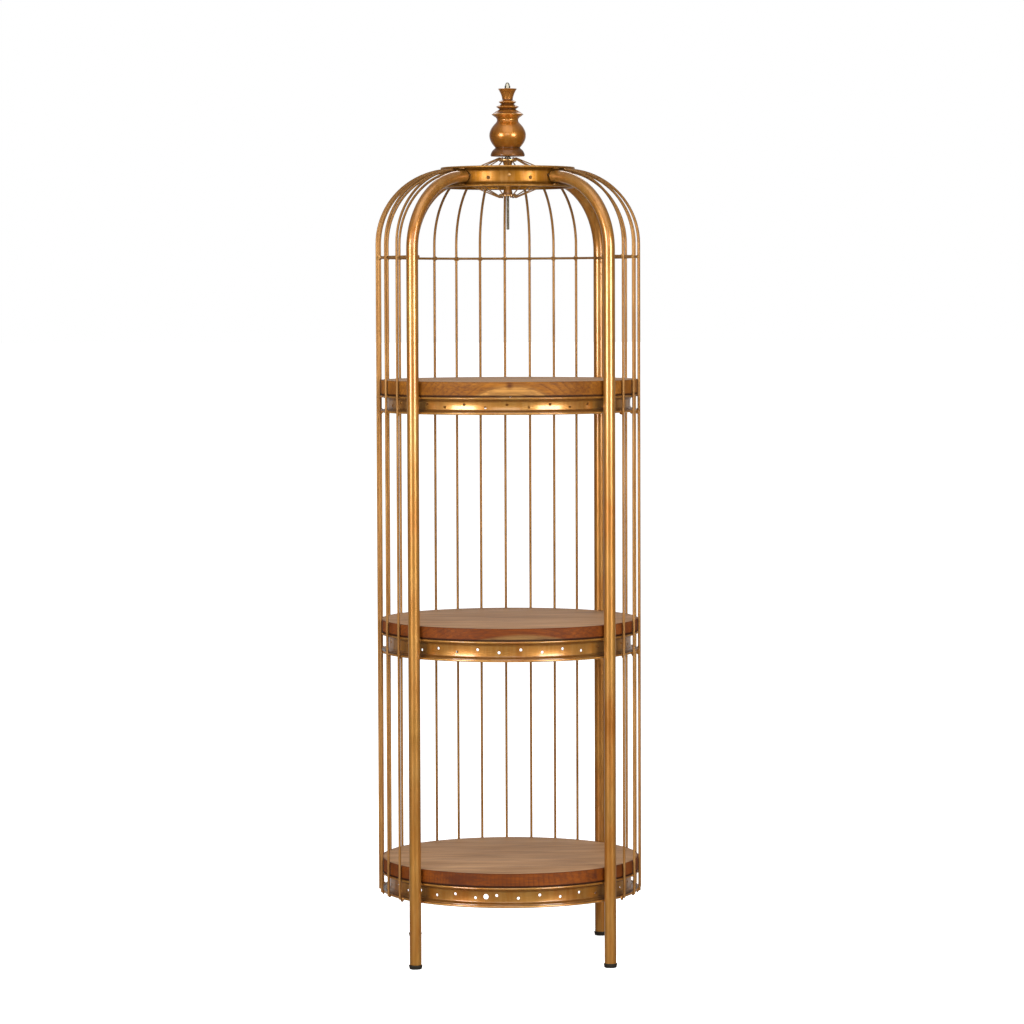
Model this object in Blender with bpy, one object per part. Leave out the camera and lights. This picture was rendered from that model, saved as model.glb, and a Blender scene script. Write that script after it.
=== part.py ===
"""A free-standing shelf unit shaped like a tall bird cage, made from bicycle rims.

Three large rims carry round boards. Four tube legs stand outside the rims and bend inwards into a small
crown rim, which keeps its hub and spokes. Thin rods close the left, back and right sides, and the front bay
is open. A threaded rod through the hub holds a turned finial.

Units are metres, +Z is up, the front faces -Y, and the origin is on the floor at the centre.
"""

import math

import bmesh
import bpy
from mathutils import Matrix, Vector

# Fits
CONTACT_GAP = 0.0003  # between pieces that touch or are welded together
ROD_RUNNING_GAP = 0.0003  # round the threaded rod, in the hub, the nuts and the finial

# Shelves
LOWEST_SHELF_TOP = 0.160
SHELF_SPACING = 0.390
BOARD_INSET = 0.0005  # board edge inside the rim's lips
# For each shelf from the lowest up: its board's thickness, its rim's width, and how the rim is turned.
# first_hole is the angle in degrees from the front to a spoke hole, which is a high one (1) or a low
# one (-1). The valve hole comes valve_after hole spacings later, halfway between two spoke holes.
SHELVES = {
    "lower": {"board": 0.022, "rim": 0.0325, "first_hole": 2.2, "first_side": -1, "valve_after": -1.5},
    "middle": {"board": 0.020, "rim": 0.033, "first_hole": 3.7, "first_side": 1, "valve_after": 17.5},
    "upper": {"board": 0.024, "rim": 0.028, "first_hole": 7.8, "first_side": -1, "valve_after": 15.5},
}

# Shelf rims and the section that all rims share
SHELF_RIM_RADIUS = 0.211  # outside of the lips
SHELF_RIM_WELL_DEPTH = 0.005  # from the bead seat to the well
SHELF_RIM_HOLES = 36
VALVE_HOLE_RADIUS = 0.00425
RIM_LIP_THICKNESS = 0.0025
RIM_LIP_DEPTH = 0.0075  # from the lip's edge to the bead seat
RIM_SHOULDER_WIDTH = 0.004  # the bead seat and the slope down to the well
RIM_WALL = 0.0015
HOLE_STAGGER = 0.0022  # alternate spoke holes lie this far above and below the middle

# Crown rim
CROWN_ABOVE_SHELF = 0.3272  # its mid-plane, over the upper shelf
CROWN_RIM_RADIUS = 0.109
CROWN_RIM_WIDTH = 0.0335
CROWN_RIM_WELL_DEPTH = 0.003

# Legs and feet
LEG_RADIUS = 0.0095
LEG_WALL = 0.0015
LEG_END_STRAIGHT = 0.002  # after the bend
FOOT_OVERHANG = 0.0018  # beyond the tube
FOOT_HEIGHT = 0.0067
FOOT_STEM_LENGTH = 0.020
FOOT_EDGE_ROUND = 0.0012

# Cage rods and the hoop that ties them
ROD_RADIUS = 0.0021
ROD_END_SLOPE = math.radians(7.3)
RODS_PER_BAY = 7
FRONT_ROD_SETBACK = math.radians(1.9)  # the spacing of the side rods starts this far behind a front leg
ROD_SEAT_DEPTH = 0.003  # how far a rod's end reaches inside the crown rim's lip
ROD_END_STRAIGHT = 0.003  # after the bend
HOOP_BELOW_BENDS = 0.0107  # under the level where the legs start to bend
HOOP_WIRE_RADIUS = 0.002
HOOP_OVERRUN = math.radians(1.5)  # past the middle of each front leg

# Hub and spokes of the crown wheel
HUB_FLANGE_SPACING = 0.0575
HUB_FLANGE_THICKNESS = 0.0025
HUB_FLANGE_EDGE = 0.003  # beyond the circle of spoke holes
HUB_SHELL_RADIUS = 0.006
HUB_NECK_CLEARANCE = 0.0022  # from the spoke heads
HUB_NECK_LENGTH = 0.0095
SPOKE_CIRCLE_RADIUS = 0.0125
SPOKE_COUNT = 18
SPOKE_RADIUS = 0.001
SPOKE_HEAD_LENGTH = 0.0012
SPOKE_HEAD_RADIUS = 0.0018
SPOKE_ELBOW = 0.0012
NIPPLE_RADIUS = 0.002
NIPPLE_LENGTH = 0.012
NIPPLE_HEAD_OVERHANG = 0.0009
NIPPLE_HEAD_HEIGHT = 0.0017
NIPPLE_STEP = 0.0001  # along the nipple, where its head starts

# Threaded rod, nuts and finial
THREADED_ROD_RADIUS = 0.0025
THREADED_ROD_TAIL = 0.054  # below the hub
THREADED_ROD_IN_CAP = 0.005
NUT_CORNER_RADIUS = 0.0046
LOCK_NUT_HEIGHT = 0.004
CAP_NUT_HEIGHT = 0.010
CAP_NUT_HEX_HEIGHT = 0.0045
CAP_NUT_DOME_INSET = 0.0002  # of the dome's foot from the hexagon's flats
CAP_NUT_TIP_RADIUS = 0.0016  # of the flat on its dome
# Up the finial's outline: height above its base, radius, and how far the arc that leads there bulges
FINIAL_OUTLINE = [
    (0.0000, 0.0270, 0.0),
    (0.0016, 0.0279, 0.0),
    (0.0124, 0.0213, 0.0014),
    (0.0140, 0.0204, 0.0),
    (0.0155, 0.0212, 0.0),
    (0.0525, 0.0208, 0.0087),
    (0.0650, 0.0225, -0.0045),
    (0.0679, 0.0261, 0.0),
    (0.0705, 0.0225, 0.0),
    (0.0732, 0.0186, 0.0),
    (0.0762, 0.0130, 0.0),
    (0.0802, 0.0188, 0.0),
    (0.0844, 0.0101, 0.0),
    (0.0880, 0.0145, 0.0),
    (0.0918, 0.0085, 0.0),
    (0.1094, 0.0154, -0.0012),
]

# Facets
RIM_SEGMENTS = 48
CROWN_SEGMENTS = 48
TURNED_SEGMENTS = 24
FOOT_SEGMENTS = 12
LEG_SIDES = 10
LEG_BEND_STEPS = 7
WIRE_SIDES = 6
ROD_BEND_STEPS = 5
HOLE_SIDES = 6
VALVE_HOLE_SIDES = 8
NUT_SIDES = 6
FINIAL_ARC_STEP = 0.009
DOME_STEPS = 3
CUTTER_OVERRUN = 0.003  # past each face of what is drilled

# Directions of the unit's front and of its four legs
FRONT = math.radians(-90)
BAY_ANGLE = math.radians(90)
LEG_ANGLES = {
    "front_left": math.radians(225),
    "back_left": math.radians(135),
    "back_right": math.radians(45),
    "front_right": math.radians(-45),
}
# Where each closed bay's rods are spaced from and to, clockwise from above
CLOSED_BAYS = {
    "left": (LEG_ANGLES["front_left"] - FRONT_ROD_SETBACK, LEG_ANGLES["back_left"]),
    "back": (LEG_ANGLES["back_left"], LEG_ANGLES["back_right"]),
    "right": (LEG_ANGLES["back_right"], LEG_ANGLES["front_right"] + FRONT_ROD_SETBACK),
}

# What follows from the driving dimensions
LOWEST_RIM_BOTTOM = LOWEST_SHELF_TOP - SHELVES["lower"]["board"] - CONTACT_GAP - SHELVES["lower"]["rim"]
UPPER_SHELF_TOP = LOWEST_SHELF_TOP + (len(SHELVES) - 1) * SHELF_SPACING
CROWN_RIM_MIDDLE = UPPER_SHELF_TOP + CROWN_ABOVE_SHELF
LEG_CIRCLE = SHELF_RIM_RADIUS + CONTACT_GAP + LEG_RADIUS
ROD_CIRCLE = SHELF_RIM_RADIUS + CONTACT_GAP + ROD_RADIUS
HOOP_CIRCLE = SHELF_RIM_RADIUS - HOOP_WIRE_RADIUS
LEG_BOTTOM = FOOT_HEIGHT + CONTACT_GAP
FOOT_RADIUS = LEG_RADIUS + FOOT_OVERHANG
SPOKE_HOLE_RADIUS = NIPPLE_RADIUS + CONTACT_GAP
CROWN_WELL_RADIUS = CROWN_RIM_RADIUS - RIM_LIP_DEPTH - CROWN_RIM_WELL_DEPTH
LEG_END_RADIUS = CROWN_WELL_RADIUS + CONTACT_GAP + NIPPLE_HEAD_HEIGHT + CONTACT_GAP
LEG_BEND_RADIUS = LEG_CIRCLE - LEG_END_RADIUS - LEG_END_STRAIGHT
LEG_BEND_START = CROWN_RIM_MIDDLE - LEG_BEND_RADIUS
CROWN_LIP_UNDERSIDE = CROWN_RIM_MIDDLE + CROWN_RIM_WIDTH / 2 - RIM_LIP_THICKNESS
HUB_FLANGE_RADIUS = SPOKE_CIRCLE_RADIUS + HUB_FLANGE_EDGE
HUB_NECK_RADIUS = SPOKE_CIRCLE_RADIUS - SPOKE_HEAD_RADIUS - HUB_NECK_CLEARANCE
HUB_HALF_LENGTH = (HUB_FLANGE_SPACING + HUB_FLANGE_THICKNESS) / 2
ROD_BORE_RADIUS = THREADED_ROD_RADIUS + ROD_RUNNING_GAP
LOCK_NUT_BOTTOM = CROWN_RIM_MIDDLE + HUB_HALF_LENGTH + CONTACT_GAP
FINIAL_BASE = LOCK_NUT_BOTTOM + LOCK_NUT_HEIGHT + CONTACT_GAP
FINIAL_HEIGHT = FINIAL_OUTLINE[-1][0]
CAP_NUT_BOTTOM = FINIAL_BASE + FINIAL_HEIGHT + CONTACT_GAP


def clear_scene():
    for obj in list(bpy.data.objects):
        bpy.data.objects.remove(obj, do_unlink=True)


def make_material(name, colour, roughness, metallic):
    material = bpy.data.materials.new(name)
    material.use_nodes = True
    shader = material.node_tree.nodes["Principled BSDF"]
    shader.inputs["Base Color"].default_value = (*colour, 1.0)
    shader.inputs["Roughness"].default_value = roughness
    shader.inputs["Metallic"].default_value = metallic
    return material


def finish_mesh(name, bm, material, flat=False):
    """The bmesh as mesh data with its faces pointing out, round surfaces smooth."""
    bmesh.ops.recalc_face_normals(bm, faces=bm.faces)
    mesh = bpy.data.meshes.new(name)
    bm.to_mesh(mesh)
    bm.free()
    mesh.materials.append(material)
    if not flat:
        mesh.shade_smooth()
        mesh.set_sharp_from_angle(angle=math.radians(35))
    return mesh


def place(name, mesh, location=(0, 0, 0), turn=0.0):
    obj = bpy.data.objects.new(name, mesh)
    obj.location = location
    obj.rotation_euler = (0, 0, turn)
    bpy.context.scene.collection.objects.link(obj)
    return obj


def on_circle(radius, angle, height=0.0):
    return Vector((radius * math.cos(angle), radius * math.sin(angle), height))


def bridge(bm, first, second):
    """A band of quads between two rings of as many vertices."""
    for i, vertex in enumerate(first):
        j = (i + 1) % len(first)
        bm.faces.new((vertex, first[j], second[j], second[i]))


def turned_bmesh(outline, segments, closed=True):
    """A turned solid from (radius, height) points. An open outline is capped flat at both ends."""
    bm = bmesh.new()
    rings = []
    for radius, height in outline:
        angles = [2 * math.pi * i / segments for i in range(segments)]
        rings.append([bm.verts.new(on_circle(radius, a, height)) for a in angles])
    for first, second in zip(rings, rings[1:]):
        bridge(bm, first, second)
    if closed:
        bridge(bm, rings[-1], rings[0])
    else:
        bm.faces.new(rings[0])
        bm.faces.new(rings[-1])
    return bm


def section_ring(bm, centre, tilt, radius, sides):
    """A ring of vertices round a path in the XZ plane that climbs at tilt from +X, its first vertex below."""
    across = Vector((math.sin(tilt), 0, -math.cos(tilt)))
    side = Vector((0, 1, 0))
    ring = []
    for i in range(sides):
        a = 2 * math.pi * i / sides
        ring.append(bm.verts.new(centre + radius * (math.cos(a) * across + math.sin(a) * side)))
    return ring


def swept_bmesh(stations, sides, wall=None):
    """A bar along (point, tilt, radius) stations in the XZ plane, or a tube if it has a wall."""
    bm = bmesh.new()
    outer = [section_ring(bm, p, tilt, radius, sides) for p, tilt, radius in stations]
    for first, second in zip(outer, outer[1:]):
        bridge(bm, first, second)
    if wall is None:
        bm.faces.new(outer[0])
        bm.faces.new(outer[-1])
        return bm
    inner = [section_ring(bm, p, tilt, radius - wall, sides) for p, tilt, radius in stations]
    for first, second in zip(inner, inner[1:]):
        bridge(bm, first, second)
    bridge(bm, outer[0], inner[0])
    bridge(bm, outer[-1], inner[-1])
    return bm


def upright_with_bend(length, bend_radius, bend_angle, end_reach, radius, steps):
    """Stations of a bar that stands on the origin, bends towards -X and ends in a straight end_reach."""
    stations = [(Vector((0, 0, 0)), math.pi / 2, radius)]
    for i in range(steps + 1):
        a = bend_angle * i / steps
        x = -bend_radius * (1 - math.cos(a))
        z = length + bend_radius * math.sin(a)
        stations.append((Vector((x, 0, z)), math.pi / 2 + a, radius))
    end, tilt, _ = stations[-1]
    stations.append((end + end_reach * Vector((math.cos(tilt), 0, math.sin(tilt))), tilt, radius))
    return stations


def clear_radius(radius, sides):
    """Radius over the corners of a prism whose flats clear a round bar of the given radius."""
    return radius / math.cos(math.pi / sides)


def add_cutter(bm, direction, start, end, radius, height, sides):
    """A prism along a horizontal direction, between two distances from the vertical axis."""
    corners = clear_radius(radius, sides)
    centre = on_circle((start + end) / 2, direction, height)
    facing = Matrix.Rotation(direction, 4, "Z") @ Matrix.Rotation(math.pi / 2, 4, "Y")
    bmesh.ops.create_cone(
        bm,
        cap_ends=True,
        segments=sides,
        radius1=corners,
        radius2=corners,
        depth=end - start,
        matrix=Matrix.Translation(centre) @ facing,
    )


def cut_with(obj, name, bm):
    """Cuts obj with the solids of bm, which stay in the file as a hidden guide."""
    cutter = place(name, bpy.data.meshes.new(name), obj.location)
    bmesh.ops.recalc_face_normals(bm, faces=bm.faces)
    bm.to_mesh(cutter.data)
    bm.free()
    cutter.hide_render = True
    cutter.display_type = "WIRE"
    boolean = obj.modifiers.new("holes", "BOOLEAN")
    boolean.operation = "DIFFERENCE"
    boolean.solver = "EXACT"
    boolean.object = cutter


def rim_outline(lip_radius, width, well_depth):
    """Section of a single-wall rim whose channel opens outwards, about its mid-plane."""
    half = width / 2
    lip_inside = half - RIM_LIP_THICKNESS
    well_half = lip_inside - RIM_SHOULDER_WIDTH
    seat = lip_radius - RIM_LIP_DEPTH
    well = seat - well_depth
    upper = [
        (seat - RIM_WALL, half),
        (lip_radius, half),
        (lip_radius, lip_inside),
        (seat, lip_inside),
        (well, well_half),
    ]
    lower = [(radius, -height) for radius, height in reversed(upper)]
    inside = [(well - RIM_WALL, -well_half), (well - RIM_WALL, well_half)]
    return upper + lower + inside


def add_shelf_rim(name, middle, shelf, material):
    outline = rim_outline(SHELF_RIM_RADIUS, shelf["rim"], SHELF_RIM_WELL_DEPTH)
    bm = turned_bmesh(outline, RIM_SEGMENTS)
    rim = place(name, finish_mesh(name, bm, material), (0, 0, middle))
    well = SHELF_RIM_RADIUS - RIM_LIP_DEPTH - SHELF_RIM_WELL_DEPTH
    ends = well - RIM_WALL - CUTTER_OVERRUN, well + CUTTER_OVERRUN
    first = FRONT + math.radians(shelf["first_hole"])
    spacing = 2 * math.pi / SHELF_RIM_HOLES
    holes = bmesh.new()
    for i in range(SHELF_RIM_HOLES):
        height = HOLE_STAGGER * shelf["first_side"] * (-1) ** i
        add_cutter(holes, first + i * spacing, *ends, SPOKE_HOLE_RADIUS, height, HOLE_SIDES)
    valve = first + shelf["valve_after"] * spacing
    add_cutter(holes, valve, *ends, VALVE_HOLE_RADIUS, 0.0, VALVE_HOLE_SIDES)
    cut_with(rim, name + "_holes", holes)


def add_board(name, top, thickness, material):
    radius = SHELF_RIM_RADIUS - BOARD_INSET
    bm = turned_bmesh([(radius, 0.0), (radius, -thickness)], RIM_SEGMENTS, closed=False)
    place(name, finish_mesh(name, bm, material), (0, 0, top))


def add_shelves(metal, wood):
    """Each board lies on its rim, at even heights."""
    for i, (tier, shelf) in enumerate(SHELVES.items()):
        top = LOWEST_SHELF_TOP + i * SHELF_SPACING
        rim_middle = top - shelf["board"] - CONTACT_GAP - shelf["rim"] / 2
        add_board("board_" + tier, top, shelf["board"], wood)
        add_shelf_rim("rim_" + tier, rim_middle, shelf, metal)


def add_legs(metal):
    """Hollow legs, which bend level with the crown rim's middle and end in front of its well."""
    length = LEG_BEND_START - LEG_BOTTOM
    stations = upright_with_bend(
        length, LEG_BEND_RADIUS, math.pi / 2, LEG_END_STRAIGHT, LEG_RADIUS, LEG_BEND_STEPS
    )
    mesh = finish_mesh("leg", swept_bmesh(stations, LEG_SIDES, LEG_WALL), metal)
    for side, angle in LEG_ANGLES.items():
        place("leg_" + side, mesh, on_circle(LEG_CIRCLE, angle, LEG_BOTTOM), angle)


def add_feet(rubber):
    """A round head under each leg, with a stem inside the tube."""
    stem = LEG_RADIUS * math.cos(math.pi / LEG_SIDES) - LEG_WALL - CONTACT_GAP
    outline = [
        (FOOT_RADIUS - FOOT_EDGE_ROUND, 0.0),
        (FOOT_RADIUS, FOOT_EDGE_ROUND),
        (FOOT_RADIUS, FOOT_HEIGHT),
        (stem, FOOT_HEIGHT),
        (stem, FOOT_HEIGHT + FOOT_STEM_LENGTH),
    ]
    bm = turned_bmesh(outline, FOOT_SEGMENTS, closed=False)
    mesh = finish_mesh("foot", bm, rubber)
    for side, angle in LEG_ANGLES.items():
        place("foot_" + side, mesh, on_circle(LEG_CIRCLE, angle), angle)


def add_rods(metal):
    """Rods on the outside of the rims, which bend in under the crown rim's upper lip."""
    end_radius = CROWN_RIM_RADIUS - ROD_SEAT_DEPTH
    end_height = CROWN_LIP_UNDERSIDE - CONTACT_GAP - ROD_RADIUS
    bend_angle = math.pi / 2 - ROD_END_SLOPE
    bend_reach = ROD_CIRCLE - end_radius - ROD_END_STRAIGHT * math.cos(ROD_END_SLOPE)
    bend_radius = bend_reach / (1 - math.cos(bend_angle))
    bend_rise = bend_radius * math.sin(bend_angle)
    length = end_height - ROD_END_STRAIGHT * math.sin(ROD_END_SLOPE) - bend_rise - LOWEST_RIM_BOTTOM
    stations = upright_with_bend(
        length, bend_radius, bend_angle, ROD_END_STRAIGHT, ROD_RADIUS, ROD_BEND_STEPS
    )
    mesh = finish_mesh("rod", swept_bmesh(stations, WIRE_SIDES), metal)
    for bay, (start, end) in CLOSED_BAYS.items():
        for i in range(1, RODS_PER_BAY + 1):
            angle = start + (end - start) * i / (RODS_PER_BAY + 1)
            place(f"rod_{bay}_{i}", mesh, on_circle(ROD_CIRCLE, angle, LOWEST_RIM_BOTTOM), angle)


def add_hoop(metal):
    """Three quarters of a ring of wire, inside the rods and the legs, open at the front."""
    start = LEG_ANGLES["front_right"] - HOOP_OVERRUN
    end = LEG_ANGLES["front_left"] + HOOP_OVERRUN
    steps = round(3 * RIM_SEGMENTS / 4)
    bends = [LEG_ANGLES["front_right"] + 3 * BAY_ANGLE * i / steps for i in range(steps + 1)]
    angles = [start, *bends, end]
    bm = bmesh.new()
    rings = []
    for angle in angles:
        outwards = on_circle(1.0, angle)
        ring = []
        for i in range(WIRE_SIDES):
            a = 2 * math.pi * i / WIRE_SIDES
            radial = HOOP_CIRCLE + HOOP_WIRE_RADIUS * math.cos(a)
            ring.append(bm.verts.new(radial * outwards + Vector((0, 0, HOOP_WIRE_RADIUS * math.sin(a)))))
        rings.append(ring)
    for first, second in zip(rings, rings[1:]):
        bridge(bm, first, second)
    bm.faces.new(rings[0])
    bm.faces.new(rings[-1])
    place("hoop", finish_mesh("hoop", bm, metal), (0, 0, LEG_BEND_START - HOOP_BELOW_BENDS))


def spoke_angle(i):
    return FRONT + 2 * math.pi * i / SPOKE_COUNT


def spoke_side(i):
    """+1 for a spoke of the upper flange, -1 for one of the lower flange."""
    return 1 if i % 2 == 0 else -1


def add_crown_rim(metal):
    outline = rim_outline(CROWN_RIM_RADIUS, CROWN_RIM_WIDTH, CROWN_RIM_WELL_DEPTH)
    bm = turned_bmesh(outline, CROWN_SEGMENTS)
    rim = place("crown_rim", finish_mesh("crown_rim", bm, metal), (0, 0, CROWN_RIM_MIDDLE))
    ends = CROWN_WELL_RADIUS - RIM_WALL - CUTTER_OVERRUN, CROWN_WELL_RADIUS + CUTTER_OVERRUN
    holes = bmesh.new()
    for i in range(SPOKE_COUNT):
        height = HOLE_STAGGER * spoke_side(i)
        add_cutter(holes, spoke_angle(i), *ends, SPOKE_HOLE_RADIUS, height, HOLE_SIDES)
    cut_with(rim, "crown_rim_holes", holes)


def add_hub(metal):
    """A spool, with its flanges drilled for the spokes and its core bored for the threaded rod."""
    flange_inside = HUB_HALF_LENGTH - HUB_FLANGE_THICKNESS
    bore = clear_radius(ROD_BORE_RADIUS, TURNED_SEGMENTS)
    upper = [
        (bore, HUB_HALF_LENGTH),
        (HUB_FLANGE_RADIUS, HUB_HALF_LENGTH),
        (HUB_FLANGE_RADIUS, flange_inside),
        (HUB_NECK_RADIUS, flange_inside),
        (HUB_SHELL_RADIUS, flange_inside - HUB_NECK_LENGTH),
    ]
    lower = [(radius, -height) for radius, height in reversed(upper)]
    bm = turned_bmesh(upper + lower, TURNED_SEGMENTS)
    hub = place("hub", finish_mesh("hub", bm, metal), (0, 0, CROWN_RIM_MIDDLE))
    holes = bmesh.new()
    radius = clear_radius(SPOKE_RADIUS + CONTACT_GAP, HOLE_SIDES)
    for i in range(SPOKE_COUNT):
        middle = spoke_side(i) * HUB_FLANGE_SPACING / 2
        centre = on_circle(SPOKE_CIRCLE_RADIUS, spoke_angle(i), middle)
        bmesh.ops.create_cone(
            holes,
            cap_ends=True,
            segments=HOLE_SIDES,
            radius1=radius,
            radius2=radius,
            depth=HUB_FLANGE_THICKNESS + 2 * CUTTER_OVERRUN,
            matrix=Matrix.Translation(centre) @ Matrix.Rotation(spoke_angle(i), 4, "Z"),
        )
    cut_with(hub, "hub_holes", holes)


def spoke_stations(side):
    """A spoke in the XZ plane, about the hub's centre: head, elbow, straight wire, nipple and nipple head."""
    head_start = HUB_HALF_LENGTH - HUB_FLANGE_THICKNESS - CONTACT_GAP - SPOKE_HEAD_LENGTH
    head_end = head_start + SPOKE_HEAD_LENGTH
    seat = CROWN_WELL_RADIUS + CONTACT_GAP
    nipple_start = CROWN_WELL_RADIUS - RIM_WALL - NIPPLE_LENGTH
    bend = SPOKE_CIRCLE_RADIUS + SPOKE_ELBOW
    slope = math.atan((HUB_HALF_LENGTH - HOLE_STAGGER) / (nipple_start - HUB_FLANGE_RADIUS))
    over_edge = (HUB_FLANGE_RADIUS - bend) * math.tan(slope) + SPOKE_RADIUS / math.cos(slope)
    elbow = HUB_HALF_LENGTH + CONTACT_GAP + over_edge
    points = [
        (SPOKE_CIRCLE_RADIUS, head_start, math.pi / 2, SPOKE_HEAD_RADIUS),
        (SPOKE_CIRCLE_RADIUS, head_end, math.pi / 2, SPOKE_RADIUS),
        (SPOKE_CIRCLE_RADIUS, elbow - SPOKE_ELBOW, math.pi / 2, SPOKE_RADIUS),
        (bend, elbow, -slope, SPOKE_RADIUS),
        (nipple_start, HOLE_STAGGER, -slope / 2, SPOKE_RADIUS),
        (nipple_start + SPOKE_RADIUS, HOLE_STAGGER, 0, NIPPLE_RADIUS),
        (seat, HOLE_STAGGER, 0, NIPPLE_RADIUS),
        (seat + NIPPLE_STEP, HOLE_STAGGER, 0, NIPPLE_RADIUS + NIPPLE_HEAD_OVERHANG),
        (seat + NIPPLE_HEAD_HEIGHT, HOLE_STAGGER, 0, NIPPLE_RADIUS),
    ]
    return [(Vector((x, 0, side * z)), side * tilt, r) for x, z, tilt, r in points]


def add_spokes(metal):
    """Radial spokes, to the upper and the lower flange in turn."""
    meshes = {}
    for side, flange in ((1, "upper"), (-1, "lower")):
        bm = swept_bmesh(spoke_stations(side), WIRE_SIDES)
        meshes[side] = finish_mesh("spoke_" + flange, bm, metal)
    for i in range(SPOKE_COUNT):
        flange = "upper" if spoke_side(i) == 1 else "lower"
        name = f"spoke_{flange}_{i // 2 + 1}"
        place(name, meshes[spoke_side(i)], (0, 0, CROWN_RIM_MIDDLE), spoke_angle(i))


def add_threaded_rod(zinc):
    bottom = CROWN_RIM_MIDDLE - HUB_HALF_LENGTH - THREADED_ROD_TAIL
    top = CAP_NUT_BOTTOM + THREADED_ROD_IN_CAP
    outline = [(THREADED_ROD_RADIUS, top - bottom), (THREADED_ROD_RADIUS, 0.0)]
    bm = turned_bmesh(outline, FOOT_SEGMENTS, closed=False)
    place("threaded_rod", finish_mesh("threaded_rod", bm, zinc), (0, 0, bottom))


def add_lock_nut(zinc):
    bore = clear_radius(ROD_BORE_RADIUS, NUT_SIDES)
    outline = [
        (bore, LOCK_NUT_HEIGHT),
        (NUT_CORNER_RADIUS, LOCK_NUT_HEIGHT),
        (NUT_CORNER_RADIUS, 0.0),
        (bore, 0.0),
    ]
    mesh = finish_mesh("lock_nut", turned_bmesh(outline, NUT_SIDES), zinc, flat=True)
    place("lock_nut", mesh, (0, 0, LOCK_NUT_BOTTOM))


def nut_ring(bm, corner, flat, height):
    """A ring of vertices at the corners and the middles of a nut's sides in turn."""
    ring = []
    for i in range(2 * NUT_SIDES):
        radius = corner if i % 2 == 0 else flat
        ring.append(bm.verts.new(on_circle(radius, math.pi * i / NUT_SIDES, height)))
    return ring


def add_cap_nut(zinc):
    """A hexagon with a dome and a blind bore for the rod's end."""
    bore = clear_radius(ROD_BORE_RADIUS, 2 * NUT_SIDES)
    flats = NUT_CORNER_RADIUS * math.cos(math.pi / NUT_SIDES)
    bm = bmesh.new()
    rings = [
        nut_ring(bm, bore, bore, THREADED_ROD_IN_CAP + CONTACT_GAP),
        nut_ring(bm, bore, bore, 0.0),
        nut_ring(bm, NUT_CORNER_RADIUS, flats, 0.0),
        nut_ring(bm, NUT_CORNER_RADIUS, flats, CAP_NUT_HEX_HEIGHT),
    ]
    dome = flats - CAP_NUT_DOME_INSET
    tip_angle = math.acos(CAP_NUT_TIP_RADIUS / dome)
    rise = (CAP_NUT_HEIGHT - CAP_NUT_HEX_HEIGHT) / math.sin(tip_angle)
    for i in range(DOME_STEPS + 1):
        a = tip_angle * i / DOME_STEPS
        radius = dome * math.cos(a)
        rings.append(nut_ring(bm, radius, radius, CAP_NUT_HEX_HEIGHT + rise * math.sin(a)))
    for first, second in zip(rings, rings[1:]):
        bridge(bm, first, second)
    bm.faces.new(rings[0])
    bm.faces.new(rings[-1])
    place("cap_nut", finish_mesh("cap_nut", bm, zinc, flat=True), (0, 0, CAP_NUT_BOTTOM))


def arc_points(start, end, bulge, step):
    """Points after start on the arc to end, which stands out by bulge from the straight line between them."""
    chord = end - start
    count = max(1, round(chord.length / step)) if bulge else 1
    across = Vector((chord.y, -chord.x)).normalized()
    points = []
    for i in range(1, count + 1):
        t = i / count
        points.append(start + t * chord + 4 * t * (1 - t) * bulge * across)
    return points


def finial_section():
    """The finial's outline as (radius, height) points, with its arcs in short steps."""
    corners = [(Vector((radius, height)), bulge) for height, radius, bulge in FINIAL_OUTLINE]
    section = [corners[0][0]]
    for end, bulge in corners[1:]:
        section += arc_points(section[-1], end, bulge, FINIAL_ARC_STEP)
    return [tuple(point) for point in section]


def add_finial(gilt):
    bore = clear_radius(ROD_BORE_RADIUS, TURNED_SEGMENTS)
    outline = [(bore, 0.0), *finial_section(), (bore, FINIAL_HEIGHT)]
    bm = turned_bmesh(outline, TURNED_SEGMENTS)
    place("finial", finish_mesh("finial", bm, gilt), (0, 0, FINIAL_BASE))


def main():
    clear_scene()
    metal = make_material("aged_gold_paint", (0.366, 0.141, 0.026), 0.33, 0.85)
    gilt = make_material("gilt_wood", (0.330, 0.128, 0.024), 0.38, 0.75)
    wood = make_material("stained_pine", (0.400, 0.262, 0.155), 0.55, 0.0)
    zinc = make_material("zinc_steel", (0.420, 0.410, 0.380), 0.35, 1.0)
    rubber = make_material("dark_rubber", (0.030, 0.022, 0.018), 0.70, 0.0)
    add_shelves(metal, wood)
    add_legs(metal)
    add_feet(rubber)
    add_rods(metal)
    add_hoop(metal)
    add_crown_rim(metal)
    add_hub(metal)
    add_spokes(metal)
    add_threaded_rod(zinc)
    add_lock_nut(zinc)
    add_finial(gilt)
    add_cap_nut(zinc)


main()
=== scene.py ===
"""Looks of a free-standing shelf unit shaped like a bird cage and made from bicycle rims.

Each smooth, detailed piece here stands for one node of the part, in the same place and size. Metres, +Z up,
the front faces -Y, and the origin is on the floor at the centre.
"""

import math
import random

import bmesh
import bpy
from mathutils import Matrix, Vector, noise


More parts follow.
